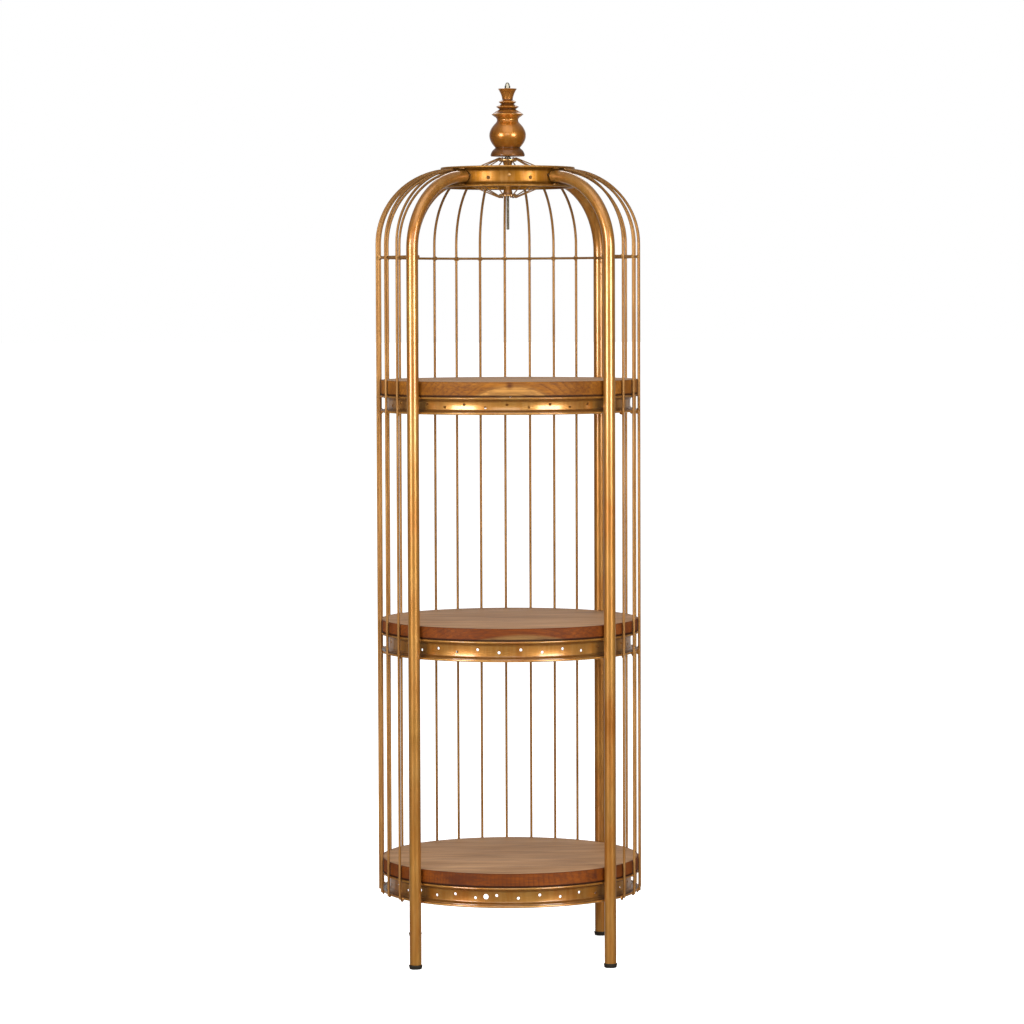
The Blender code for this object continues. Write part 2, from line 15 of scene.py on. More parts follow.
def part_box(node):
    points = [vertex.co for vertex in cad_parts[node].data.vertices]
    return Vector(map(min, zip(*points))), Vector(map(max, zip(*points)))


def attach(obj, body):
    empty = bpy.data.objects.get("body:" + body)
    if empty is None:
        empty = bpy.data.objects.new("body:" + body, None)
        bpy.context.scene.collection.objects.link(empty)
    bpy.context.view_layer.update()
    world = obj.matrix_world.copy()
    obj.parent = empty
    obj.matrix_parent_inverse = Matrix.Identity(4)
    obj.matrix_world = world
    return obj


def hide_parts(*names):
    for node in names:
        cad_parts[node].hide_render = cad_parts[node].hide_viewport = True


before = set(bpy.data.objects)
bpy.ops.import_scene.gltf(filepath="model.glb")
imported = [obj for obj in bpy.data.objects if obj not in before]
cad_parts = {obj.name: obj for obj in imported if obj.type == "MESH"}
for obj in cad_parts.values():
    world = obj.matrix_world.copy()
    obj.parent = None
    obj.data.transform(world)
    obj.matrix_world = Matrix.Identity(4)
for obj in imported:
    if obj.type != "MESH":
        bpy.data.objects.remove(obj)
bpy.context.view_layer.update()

# Sizes of the part that its nodes' boxes don't give
CONTACT_GAP = 0.0003
BORE_GAP = 0.0004  # between the threaded rod and the bores of hub and finial
LEG_RADIUS = 0.0095
LEG_WALL = 0.0015
LEG_END_RADIUS = 0.1008  # distance of a leg's upper end from the middle of the crown
LEG_END_STRAIGHT = 0.002
ROD_RADIUS = 0.0021
ROD_END_RADIUS = 0.106
ROD_END_STRAIGHT = 0.003
ROD_END_SLOPE = math.radians(7.3)
HOOP_WIRE_RADIUS = 0.002
HOOP_OVERRUN = math.radians(0.8)
FOOT_STEM_RADIUS = 0.0072
HOLE_STAGGER = 0.0022
SPOKE_HOLE_RADIUS = 0.0023
VALVE_HOLE_RADIUS = 0.00425
SHELF_RIM_HOLES = 36
CROWN_HOLES = 18
SPOKE_CIRCLE_RADIUS = 0.0125
SPOKE_RADIUS = 0.001
ELBOW_RISE = 0.0012
HUB_FLANGE_THICKNESS = 0.0025
THREADED_ROD_RADIUS = 0.0025
NUT_CORNER_RADIUS = 0.0046
FRONT = math.radians(-90)
# Per shelf rim: degrees from the front to a spoke hole, whether that hole is high (1) or low (-1), and how
# many hole spacings later the valve hole comes
RIM_HOLES = {"lower": (2.2, -1, -1.5), "middle": (3.7, 1, 17.5), "upper": (7.8, -1, 15.5)}
LEGS = ("front_left", "front_right", "back_left", "back_right")
BAYS = ("left", "back", "right")
RODS_PER_BAY = 7

# Well depth of each kind of rim, and the section that they share
SHELF_WELL_DEPTH = 0.005
CROWN_WELL_DEPTH = 0.003
LIP_DEPTH = 0.0075
LIP_WALL = 0.0021
BEAD_RADIUS = 0.0018
LIP_THICKNESS = 0.0025
RIM_WALL = 0.0015
WELL_CURVE = 0.0006

# Facets
RIM_SEGMENTS = 216
SMALL_SEGMENTS = 64
NUT_SEGMENTS = 48
NUT_DOME_STEPS = 9
TUBE_SIDES = 32
WIRE_SIDES = 14
THREAD_SIDES = 24
THREAD_ROWS = 6  # to one turn of the thread
HOLE_SIDES = 20
FILLET_STEPS = 4
LEG_BEND_STEPS = 28
ROD_BEND_STEPS = 20
HOOP_STEPS = 240
ELBOW_STEPS = 5

# Tone of the paint: on a rim's upper lip and in its well, and on a bar's upright and in its bend. On a
# shelf rim the darker upper lip is painted shade under its board.
SHELF_RIM_TONES = (-0.25, 0.05)
CROWN_RIM_TONES = (0.45, 0.0)
# The bends' lower tones, on legs and rods alike, are painted shade.
LEG_TONES = (0.0, -0.12)
ROD_TONES = (0.0, -0.42)
HOOP_TONE = -0.40
SPOKE_TONE = -0.30
# The nipple heads are painted dark, a painted shade in their holes, except the one at the front.
NIPPLE_HEAD_SHADE_TONE = -0.95
FRONT_NIPPLE_HEAD_HIGHLIGHT_TONE = 0.3  # painted highlight, without the painted shade of the other nipple heads
# The finial's foot is painted darker, a painted shade on its flare.
FINIAL_FOOT_SHADE_TONE = -0.7
# How much darker the thread is towards its roots.
THREAD_ROOT_DARKENING = 0.65
# Tones above 1 are a painted shadow line along a board's lower edge, where it sits on the rim's lip
EDGE_SHADOW_TONE = 1.75
LOWEST_EDGE_SHADOW_TONE = 1.9


def on_circle(radius, angle, height=0.0):
    return Vector((radius * math.cos(angle), radius * math.sin(angle), height))


def middle(node):
    low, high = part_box(node)
    return (low + high) / 2


def angle_of(point):
    return math.atan2(point.y, point.x)


def low_end(node):
    """The centre of a CAD bar's lowest ring of vertices."""
    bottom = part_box(node)[0].z
    ring = [v.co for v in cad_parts[node].data.vertices if v.co.z < bottom + 1e-5]
    return sum(ring, Vector()) / len(ring)


# Mesh building. A vertex's tone makes the paint brighter above 0 and darker below 0, and on a board says
# how much of its edge it is, with a painted shadow line above 1. Above 0 it is wear, and on the front
# nipple head and the hoop's welds a painted highlight. Below 0 it is the wires' darker paint, and painted
# shade in the rims' grooves, on a shelf rim's lip under its board, on the bars' bends, on the nipple heads
# in their holes and on the finial's foot; elsewhere it is only darker in grooves and recesses.


def new_bmesh():
    bm = bmesh.new()
    bm.verts.layers.float.new("tone")
    return bm


def add_vertex(bm, point, tone=0.0):
    vertex = bm.verts.new(point)
    vertex[bm.verts.layers.float["tone"]] = tone
    return vertex


def bridge(bm, first, second):
    for i, vertex in enumerate(first):
        j = (i + 1) % len(first)
        bm.faces.new((vertex, first[j], second[j], second[i]))


def rounded(corners, closed=True, steps=FILLET_STEPS):
    """(radius, height, tone) points of an outline given by (radius, height, fillet, tone) corners."""
    outline = []
    for i, (radius, height, fillet, tone) in enumerate(corners):
        here = Vector((radius, height))
        if fillet == 0 or (not closed and i in (0, len(corners) - 1)):
            outline.append((radius, height, tone))
            continue
        before = Vector(corners[i - 1][:2]) - here
        after = Vector(corners[(i + 1) % len(corners)][:2]) - here
        start = before.normalized() * min(fillet, 0.49 * before.length)
        end = after.normalized() * min(fillet, 0.49 * after.length)
        for k in range(steps + 1):
            t = k / steps
            point = here + (1 - t) ** 2 * start + t * t * end
            outline.append((point.x, point.y, tone))
    return outline


def turn(bm, outline, segments, closed=True, base=(0, 0, 0)):
    """A turned solid from (radius, height, tone) points round a vertical axis through base."""
    rings = []
    for radius, height, tone in outline:
        angles = [2 * math.pi * i / segments for i in range(segments)]
        rings.append([add_vertex(bm, Vector(base) + on_circle(radius, a, height), tone) for a in angles])
    for first, second in zip(rings, rings[1:]):
        bridge(bm, first, second)
    if closed:
        bridge(bm, rings[-1], rings[0])
    else:
        bm.faces.new(rings[0])
        bm.faces.new(rings[-1])


def sweep(bm, stations, sides, wall=None, turn_by=0.0):
    """A bar, or a tube with a wall, along (x, z, tilt, radius, tone) stations in a plane turned about Z."""
    matrix = Matrix.Rotation(turn_by, 3, "Z")

    def rings(inset):
        found = []
        for x, z, tilt, radius, tone in stations:
            across = Vector((math.sin(tilt), 0, -math.cos(tilt)))
            ring = []
            for i in range(sides):
                a = 2 * math.pi * i / sides
                offset = (radius - inset) * (math.cos(a) * across + math.sin(a) * Vector((0, 1, 0)))
                ring.append(add_vertex(bm, matrix @ (Vector((x, 0, z)) + offset), tone))
            found.append(ring)
        for first, second in zip(found, found[1:]):
            bridge(bm, first, second)
        return found

    outer = rings(0.0)
    if wall is None:
        bm.faces.new(outer[0])
        bm.faces.new(outer[-1])
        return
    inner = rings(wall)
    bridge(bm, outer[0], inner[0])
    bridge(bm, outer[-1], inner[-1])


def piece(name, bm, material, body="frame", stands_for=(), sharp=32):
    """The bmesh as a shaded object that rides on a body and stands for CAD nodes."""
    bmesh.ops.recalc_face_normals(bm, faces=bm.faces)
    mesh = bpy.data.meshes.new(name)
    bm.to_mesh(mesh)
    bm.free()
    mesh.materials.append(material)
    mesh.shade_smooth()
    mesh.set_sharp_from_angle(angle=math.radians(sharp))
    obj = bpy.data.objects.new(name, mesh)
    bpy.context.scene.collection.objects.link(obj)
    weighted = obj.modifiers.new("normals", "WEIGHTED_NORMAL")
    weighted.keep_sharp = True
    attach(obj, body)
    if stands_for:
        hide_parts(*stands_for)
    return obj


def drill(bm, cutters):
    """Cuts the solids of one bmesh out of another, and gives back the drilled one."""
    made = []
    for source in (bm, cutters):
        bmesh.ops.recalc_face_normals(source, faces=source.faces)
        mesh = bpy.data.meshes.new("drilling")
        source.to_mesh(mesh)
        source.free()
        obj = bpy.data.objects.new("drilling", mesh)
        bpy.context.scene.collection.objects.link(obj)
        made.append(obj)
    body, cutter = made
    boolean = body.modifiers.new("holes", "BOOLEAN")
    boolean.operation = "DIFFERENCE"
    boolean.solver = "EXACT"
    boolean.object = cutter
    evaluated = body.evaluated_get(bpy.context.evaluated_depsgraph_get())
    drilled = bmesh.new()
    drilled.from_mesh(evaluated.to_mesh())
    evaluated.to_mesh_clear()
    for obj in made:
        data = obj.data
        bpy.data.objects.remove(obj)
        bpy.data.meshes.remove(data)
    return drilled


def add_drill(bm, centre, direction, radius, length, sides=HOLE_SIDES):
    """A round cutter through centre along a direction."""
    facing = Vector((0, 0, 1)).rotation_difference(direction).to_matrix().to_4x4()
    bmesh.ops.create_cone(
        bm,
        cap_ends=True,
        segments=sides,
        radius1=radius,
        radius2=radius,
        depth=length,
        matrix=Matrix.Translation(centre) @ facing,
    )


# Materials. A noise's last numbers are its scale, detail and roughness.


def node(tree, kind, inputs=None, **settings):
    """A shader node with its settings, and its inputs as values or as sockets to link."""
    made = tree.nodes.new(kind)
    for name, value in settings.items():
        setattr(made, name, value)
    for name, value in (inputs or {}).items():
        if isinstance(value, bpy.types.NodeSocket):
            tree.links.new(value, made.inputs[name])
        else:
            made.inputs[name].default_value = value
    return made


def new_material(name):
    """A new material with its node tree and its shader."""
    material = bpy.data.materials.new(name)
    material.use_nodes = True
    tree = material.node_tree
    return material, tree, tree.nodes["Principled BSDF"]


def ramp(tree, value, stops):
    """A colour ramp, its stops as (position, grey or colour)."""
    made = node(tree, "ShaderNodeValToRGB", {"Fac": value})
    elements = made.color_ramp.elements
    while len(elements) < len(stops):
        elements.new(0.5)
    for element, (position, colour) in zip(elements, stops):
        element.position = position
        element.color = (*colour, 1.0) if isinstance(colour, tuple) else (colour, colour, colour, 1.0)
    return made.outputs["Color"]


def mix(tree, factor, first, second, blend="MIX"):
    """Two colours mixed by a factor, each a socket or a tuple."""
    made = node(tree, "ShaderNodeMix", data_type="RGBA", blend_type=blend)
    for index, value in ((0, factor), (6, first), (7, second)):
        if isinstance(value, bpy.types.NodeSocket):
            tree.links.new(value, made.inputs[index])
        else:
            made.inputs[index].default_value = (*value, 1.0) if isinstance(value, tuple) else value
    return made.outputs[2]


def maths(tree, operation, *values, clamp=False):
    made = node(tree, "ShaderNodeMath", operation=operation, use_clamp=clamp)
    for index, value in enumerate(values):
        if isinstance(value, bpy.types.NodeSocket):
            tree.links.new(value, made.inputs[index])
        else:
            made.inputs[index].default_value = value
    return made.outputs[0]


def place_of(tree, scale=(1, 1, 1), turn_by=(0, 0, 0)):
    """The point's own place, in metres, scaled and then turned."""
    coordinates = node(tree, "ShaderNodeTexCoord")
    mapping = node(
        tree,
        "ShaderNodeMapping",
        {
            "Vector": coordinates.outputs["Object"],
            "Rotation": turn_by,
            "Scale": scale,
        },
    )
    return mapping.outputs["Vector"]


def grain(tree, place, scale, detail, roughness):
    made = node(
        tree,
        "ShaderNodeTexNoise",
        {
            "Vector": place,
            "Scale": scale,
            "Detail": detail,
            "Roughness": roughness,
        },
    )
    return made.outputs["Fac"]


def bump(tree, shader, height, distance, strength):
    made = node(tree, "ShaderNodeBump", {"Height": height, "Distance": distance, "Strength": strength})
    tree.links.new(made.outputs["Normal"], shader.inputs["Normal"])


def tone_of(tree):
    return node(tree, "ShaderNodeAttribute", attribute_name="tone").outputs["Fac"]


def aged_gold(name, dark, body, worn, metallic, smooth, matt, coat, specular=0.5):
    """Antique gold paint: mottled, darker where the tone is below 0 (the wires' darker paint, and painted
    shade) and brighter where it is above 0 (wear, and a painted highlight).
    """
    material, tree, shader = new_material(name)
    tone = tone_of(tree)
    clouds = grain(tree, place_of(tree, (1, 1, 0.5)), 18.0, 2.5, 0.5)
    swells = grain(tree, place_of(tree), 28.0, 1.0, 0.5)
    speckle = grain(tree, place_of(tree), 420.0, 3.0, 0.6)
    streaks = grain(tree, place_of(tree, (1, 1, 0.12)), 160.0, 3.0, 0.55)
    mottled = mix(tree, ramp(tree, clouds, [(0.28, 0.0), (0.72, 1.0)]), dark, body)
    streaked = mix(tree, ramp(tree, streaks, [(0.40, 0.0), (0.75, 0.22)]), mottled, worn)
    # Above 0 the tone brightens the paint: wear, and a painted highlight on the front nipple head and the
    # hoop's welds.
    wear_and_highlight = maths(tree, "MULTIPLY_ADD", speckle, 0.6, tone)
    worn_and_highlit = mix(tree, ramp(tree, wear_and_highlight, [(0.45, 0.0), (1.2, 1.0)]), streaked, worn)
    # Below 0 the tone darkens the paint: the wires' darker paint, and painted shade in grooves, under
    # boards, on bends and in holes.
    dirt_and_shade = maths(tree, "MULTIPLY", tone, -1.0, clamp=True)
    dirt_and_shade = maths(tree, "MULTIPLY", dirt_and_shade, ramp(tree, clouds, [(0.2, 0.6), (0.7, 1.0)]), clamp=True)
    grime_and_shade = tuple(0.2 * c for c in dark)
    tree.links.new(mix(tree, dirt_and_shade, worn_and_highlit, grime_and_shade), shader.inputs["Base Color"])
    gloss = ramp(tree, swells, [(0.25, smooth), (0.80, matt)])
    tree.links.new(maths(tree, "MULTIPLY_ADD", dirt_and_shade, 0.3, gloss), shader.inputs["Roughness"])
    shader.inputs["Metallic"].default_value = metallic
    shader.inputs["Specular IOR Level"].default_value = specular
    shader.inputs["Coat Weight"].default_value = coat
    shader.inputs["Coat Roughness"].default_value = 0.13
    bump(tree, shader, maths(tree, "MULTIPLY_ADD", speckle, 0.05, swells), 0.0004, 0.20)
    return material


def stained_pine(name, grain_angle, pith, dark, light, sapwood_radius, sapwood, knot):
    """A pine board with its fibres along X, and growth rings round a pith line that runs at grain_angle and
    passes at pith (y, z). Its edge goes from dark to light, and took the stain as the sapwood colour beyond
    sapwood_radius from the pith. The top is painted paler than the edge, a painted sheen, and a tone above
    1 is a painted shadow line along the lower edge. A knot sits at a point near the edge.
    """
    material, tree, shader = new_material(name)
    edge = tone_of(tree)
    turned = (0, 0, -grain_angle)
    place = place_of(tree, turn_by=turned)
    warp = grain(tree, place_of(tree, (1.2, 7, 7), turned), 1.0, 3.0, 0.5)
    along = node(tree, "ShaderNodeSeparateXYZ", {"Vector": place})
    across = maths(tree, "SUBTRACT", along.outputs["Y"], pith[0])
    above = maths(tree, "SUBTRACT", along.outputs["Z"], pith[1])
    squares = maths(tree, "MULTIPLY_ADD", across, across, maths(tree, "MULTIPLY", above, above))
    distance = maths(tree, "MULTIPLY_ADD", warp, 0.022, maths(tree, "SQRT", squares))
    ring = maths(tree, "FRACT", maths(tree, "DIVIDE", distance, 0.0056))
    late = ramp(tree, ring, [(0.0, 0.0), (0.50, 0.15), (0.88, 1.0), (1.0, 0.0)])
    patches = grain(tree, place_of(tree, (9, 60, 60), turned), 1.0, 3.0, 0.5)
    late = maths(tree, "MULTIPLY", late, ramp(tree, patches, [(0.35, 0.15), (0.65, 1.0)]))
    fibres = grain(tree, place_of(tree, (10, 330, 330), turned), 1.0, 4.0, 0.65)
    pores = grain(tree, place_of(tree, (60, 1400, 1400), turned), 1.0, 2.0, 0.5)
    clouds = grain(tree, place_of(tree, (6, 26, 26), turned), 1.0, 5.0, 0.6)
    clouds = ramp(tree, clouds, [(0.30, 0.0), (0.70, 1.0)])
    # The top is painted much paler than the edge, a painted sheen.
    top = mix(tree, clouds, (0.420, 0.220, 0.094), (0.640, 0.375, 0.190))
    colour = mix(tree, edge, top, mix(tree, clouds, dark, light))
    beyond = maths(tree, "SUBTRACT", distance, sapwood_radius)
    sap = ramp(tree, maths(tree, "MULTIPLY_ADD", beyond, 160.0, 0.5), [(0.20, 0.0), (0.80, 1.0)])
    colour = mix(tree, maths(tree, "MULTIPLY", sap, edge), colour, sapwood)
    darker = maths(tree, "MULTIPLY", late, maths(tree, "MULTIPLY_ADD", edge, 0.25, 0.20))
    colour = mix(tree, darker, colour, (0.035, 0.009, 0.003))
    streak = ramp(tree, fibres, [(0.38, 0.45), (0.60, 0.0)])
    colour = mix(tree, streak, colour, (0.045, 0.014, 0.005))
    reach = node(tree, "ShaderNodeVectorMath", operation="DISTANCE")
    tree.links.new(node(tree, "ShaderNodeTexCoord").outputs["Object"], reach.inputs[0])
    reach.inputs[1].default_value = knot
    nearness = maths(tree, "MULTIPLY_ADD", fibres, 0.006, reach.outputs["Value"])
    spot = ramp(tree, maths(tree, "MULTIPLY", nearness, 60.0), [(0.25, 0.85), (0.65, 0.0)])
    colour = mix(tree, spot, colour, (0.050, 0.012, 0.004))
    # A tone above 1 darkens the lower edge: a painted shadow line where the board meets the rim.
    colour = mix(tree, maths(tree, "SUBTRACT", edge, 1.0, clamp=True), colour, (0.012, 0.003, 0.001))
    tree.links.new(colour, shader.inputs["Base Color"])
    tree.links.new(ramp(tree, fibres, [(0.3, 0.48), (0.8, 0.60)]), shader.inputs["Roughness"])
    shader.inputs["Specular IOR Level"].default_value = 0.10
    height = maths(tree, "MULTIPLY_ADD", late, 0.5, maths(tree, "MULTIPLY", pores, 0.5))
    bump(tree, shader, height, 0.0003, 0.25)
    return material


def zinc_plate(name):
    material, tree, shader = new_material(name)
    clouds = grain(tree, place_of(tree), 180.0, 4.0, 0.6)
    spots = grain(tree, place_of(tree), 1500.0, 2.0, 0.5)
    colour = mix(tree, clouds, (0.33, 0.30, 0.23), (0.54, 0.50, 0.40))
    # Below 0 the tone darkens the zinc, towards the thread's roots.
    dirt_and_shade = maths(tree, "MULTIPLY", tone_of(tree), -1.0, clamp=True)
    tree.links.new(mix(tree, dirt_and_shade, colour, (0.07, 0.06, 0.05)), shader.inputs["Base Color"])
    tree.links.new(ramp(tree, spots, [(0.3, 0.34), (0.7, 0.50)]), shader.inputs["Roughness"])
    shader.inputs["Metallic"].default_value = 1.0
    bump(tree, shader, spots, 0.0001, 0.2)
    return material


def moulded_rubber(name):
    material, tree, shader = new_material(name)
    clouds = grain(tree, place_of(tree), 60.0, 4.0, 0.6)
    pits = grain(tree, place_of(tree), 2200.0, 2.0, 0.5)
    colour = mix(tree, clouds, (0.006, 0.005, 0.003), (0.020, 0.015, 0.009))
    tree.links.new(colour, shader.inputs["Base Color"])
    tree.links.new(ramp(tree, clouds, [(0.3, 0.42), (0.7, 0.60)]), shader.inputs["Roughness"])
    shader.inputs["Specular IOR Level"].default_value = 0.2
    bump(tree, shader, pits, 0.0002, 0.3)
    return material


# Pieces


def rim_section(lip, half_width, well_depth, top_tone, well_tone):
    """A rim's section as an outline about its mid-plane: rolled lips, bead seats, steps and a flat well."""
    inside = half_width - LIP_WALL
    seat = lip - LIP_DEPTH
    well = seat - well_depth
    seat_edge = inside - 0.0026
    well_edge = seat_edge - 0.0021
    bead_bottom = half_width - 2 * BEAD_RADIUS
    # The low tones under the beads and at the seats and steps are painted shade in the rim's grooves;
    # top_tone sets the upper lip.
    upper = [
        (well - RIM_WALL, well_edge - 0.0006, 0.0014, -0.1),
        (seat - RIM_WALL, seat_edge - 0.0008, 0.0012, -0.1),
        (seat - RIM_WALL, half_width, 0.0012, 0.0),
        (lip, half_width, BEAD_RADIUS, 0.35),
        (lip, bead_bottom, BEAD_RADIUS, 0.15),
        (lip - 1.7 * BEAD_RADIUS, bead_bottom, 0.0010, -0.6),
        (lip - 2.0 * BEAD_RADIUS, inside, 0.0006, -1.0),
        (seat, inside, 0.0010, -1.0),
        (seat - 0.0002, seat_edge, 0.0012, -0.6),
        (well + WELL_CURVE, well_edge, 0.0016, -0.45),
        (well + 0.5 * WELL_CURVE, 0.7 * well_edge, 0.0, well_tone - 0.05),
        (well + 0.1 * WELL_CURVE, 0.35 * well_edge, 0.0, well_tone),
    ]
    lower = [(radius, -height, fillet, tone) for radius, height, fillet, tone in reversed(upper)]
    upper[3] = (lip, half_width, BEAD_RADIUS, top_tone)
    return rounded(upper + [(well, 0.0, 0.0, well_tone)] + lower)


def add_rim(name, lip, well_depth, top_tone, well_tone, holes, material, segments):
    """A rim over its CAD node, with holes as (angle, height from the middle, radius)."""
    low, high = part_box(name)
    half_width = (high.z - low.z) / 2
    centre = Vector((0, 0, (low.z + high.z) / 2))
    bm = new_bmesh()
    turn(bm, rim_section(lip, half_width, well_depth, top_tone, well_tone), segments, base=centre)
    well = lip - LIP_DEPTH - well_depth - RIM_WALL / 2
    cutters = bmesh.new()
    for angle, height, radius in holes:
        add_drill(cutters, centre + on_circle(well, angle, height), on_circle(1, angle), radius, 0.008)
    return piece(name + "_pressed", drill(bm, cutters), material, stands_for=[name])


def add_shelf_rims(gold):
    spacing = 2 * math.pi / SHELF_RIM_HOLES
    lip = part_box("rim_lower")[1].y
    for tier, (first, side, valve_after) in RIM_HOLES.items():
        start = FRONT + math.radians(first)
        holes = []
        for i in range(SHELF_RIM_HOLES):
            holes.append((start + i * spacing, HOLE_STAGGER * side * (-1) ** i, SPOKE_HOLE_RADIUS))
        holes.append((start + valve_after * spacing, 0.0, VALVE_HOLE_RADIUS))
        add_rim("rim_" + tier, lip, SHELF_WELL_DEPTH, *SHELF_RIM_TONES, holes, gold, RIM_SEGMENTS)


def crown_hole(i):
    """The angle of the crown's hole i, and 1 if its spoke comes from the upper flange or -1."""
    return FRONT + 2 * math.pi * i / CROWN_HOLES, 1 if i % 2 == 0 else -1


def add_crown_rim(gold):
    holes = []
    for i in range(CROWN_HOLES):
        angle, side = crown_hole(i)
        holes.append((angle, HOLE_STAGGER * side, SPOKE_HOLE_RADIUS))
    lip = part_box("crown_rim")[1].y
    add_rim("crown_rim", lip, CROWN_WELL_DEPTH, *CROWN_RIM_TONES, holes, gold, RIM_SEGMENTS // 2)


def add_boards(woods):
    for tier, wood in woods.items():
        low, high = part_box("board_" + tier)
        radius = high.y
        bm = new_bmesh()
        corners = [
            (0.001, high.z, 0.0, 0.0),
            (radius - 0.004, high.z, 0.0, 0.0),
            (radius, high.z, 0.0012, 1.0),
            (radius, low.z + 0.0034, 0.0, 1.0),
            # Painted shadow line along the lower edge, where the board meets the rim's lip.
            (radius, low.z + 0.0022, 0.0, EDGE_SHADOW_TONE),
            (radius, low.z, 0.0009, LOWEST_EDGE_SHADOW_TONE),
            (radius - 0.006, low.z, 0.0, 0.8),
            (0.001, low.z, 0.0, 0.5),
        ]
        turn(bm, rounded(corners, closed=False), RIM_SEGMENTS, closed=False)
        name = "board_" + tier
        piece(name + "_pine", bm, wood, stands_for=[name])


def bent_bar(base, start_radius, end_radius, end_height, straight, slope, radius, steps, tones):
    """Stations of an upright bar that bends in towards the axis and ends in a straight stretch.

    Tones gives the tone of its upright and of its bend; a darker bend is painted shade.
    """
    bend_angle = math.pi / 2 - slope
    bend_radius = (start_radius - end_radius - straight * math.cos(slope)) / (1 - math.cos(bend_angle))
    bend_start = end_height - straight * math.sin(slope) - bend_radius * math.sin(bend_angle)
    upright, bent = tones
    stations = [(start_radius, base, math.pi / 2, radius, upright)]
    for i in range(steps + 1):
        a = bend_angle * i / steps
        x = start_radius - bend_radius * (1 - math.cos(a))
        tone = upright + (bent - upright) * min(1.0, 2 * i / steps)
        stations.append((x, bend_start + bend_radius * math.sin(a), math.pi / 2 + a, radius, tone))
    stations.append((end_radius, end_height, math.pi / 2 + bend_angle, radius, bent))
    return stations


def add_legs(gold):
    crown = middle("crown_rim").z
    for side in LEGS:
        foot = middle("foot_" + side)
        name = "leg_" + side
        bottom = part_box(name)[0].z
        stations = bent_bar(
            bottom,
            foot.xy.length,
            LEG_END_RADIUS,
            crown,
            LEG_END_STRAIGHT,
            0.0,
            LEG_RADIUS,
            LEG_BEND_STEPS,
            LEG_TONES,
        )
        bm = new_bmesh()
        sweep(bm, stations, TUBE_SIDES, LEG_WALL, angle_of(foot))
        piece(name + "_tube", bm, gold, stands_for=[name])


def add_feet(rubber):
    """A moulded cap that narrows downwards, with its stem in the tube."""
    for side in LEGS:
        name = "foot_" + side
        low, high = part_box(name)
        centre = (low + high) / 2
        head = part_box("leg_" + side)[0].z - CONTACT_GAP
        radius = (high.x - low.x) / 2
        corners = [
            (0.0004, 0.0006, 0.0, 0.0),
            (0.6 * radius, 0.0006, 0.0, 0.0),
            (0.66 * radius, 0.0, 0.0004, 0.0),
            (0.90 * radius, 0.0, 0.0014, 0.0),
            (0.97 * radius, 0.6 * head, 0.0010, 0.0),
            (radius, 0.66 * head, 0.0006, 0.0),
            (radius, head, 0.0010, 0.0),
            (FOOT_STEM_RADIUS, head, 0.0003, 0.0),
            (FOOT_STEM_RADIUS, high.z, 0.0012, 0.0),
            (0.0004, high.z, 0.0, 0.0),
        ]
        bm = new_bmesh()
        turn(bm, rounded(corners, closed=False), SMALL_SEGMENTS, closed=False, base=(centre.x, centre.y, 0))
        piece(name + "_cap", bm, rubber, stands_for=[name])


def rod_names():
    return [f"rod_{bay}_{i}" for bay in BAYS for i in range(1, RODS_PER_BAY + 1)]


def rod_end_height():
    """How high the rods end, under the crown rim's upper lip."""
    lip_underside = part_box("crown_rim")[1].z - LIP_THICKNESS
    return lip_underside - CONTACT_GAP - ROD_RADIUS


def add_rods(wire):
    end_height = rod_end_height()
    for name in rod_names():
        base = low_end(name)
        stations = bent_bar(
            base.z,
            base.xy.length,
            ROD_END_RADIUS,
            end_height,
            ROD_END_STRAIGHT,
            ROD_END_SLOPE,
            ROD_RADIUS,
            ROD_BEND_STEPS,
            ROD_TONES,
        )
        first = stations[0]
        stations.insert(0, (first[0], first[1], first[2], 0.75 * ROD_RADIUS, 0.3))
        stations[1] = (first[0], first[1] + 0.0005, *first[2:])
        bm = new_bmesh()
        sweep(bm, stations, WIRE_SIDES, None, angle_of(base))
        piece(name + "_wire", bm, wire, stands_for=[name])


def add_hoop(wire):
    low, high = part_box("hoop")
    circle = high.y - HOOP_WIRE_RADIUS
    legs = [angle_of(middle("foot_" + side)) for side in ("front_right", "front_left")]
    start = legs[0] - HOOP_OVERRUN
    end = legs[1] % (2 * math.pi) + HOOP_OVERRUN
    bm = new_bmesh()
    rings = []
    for k in range(HOOP_STEPS + 1):
        angle = start + (end - start) * k / HOOP_STEPS
        ring = []
        for i in range(WIRE_SIDES):
            a = 2 * math.pi * i / WIRE_SIDES
            radial = circle + HOOP_WIRE_RADIUS * math.cos(a)
            height = (low.z + high.z) / 2 + HOOP_WIRE_RADIUS * math.sin(a)
            ring.append(add_vertex(bm, on_circle(radial, angle, height), HOOP_TONE))
        rings.append(ring)
    for first, second in zip(rings, rings[1:]):
        bridge(bm, first, second)
    bm.faces.new(rings[0])
    bm.faces.new(rings[-1])
    piece("hoop_wire", bm, wire, stands_for=["hoop"])


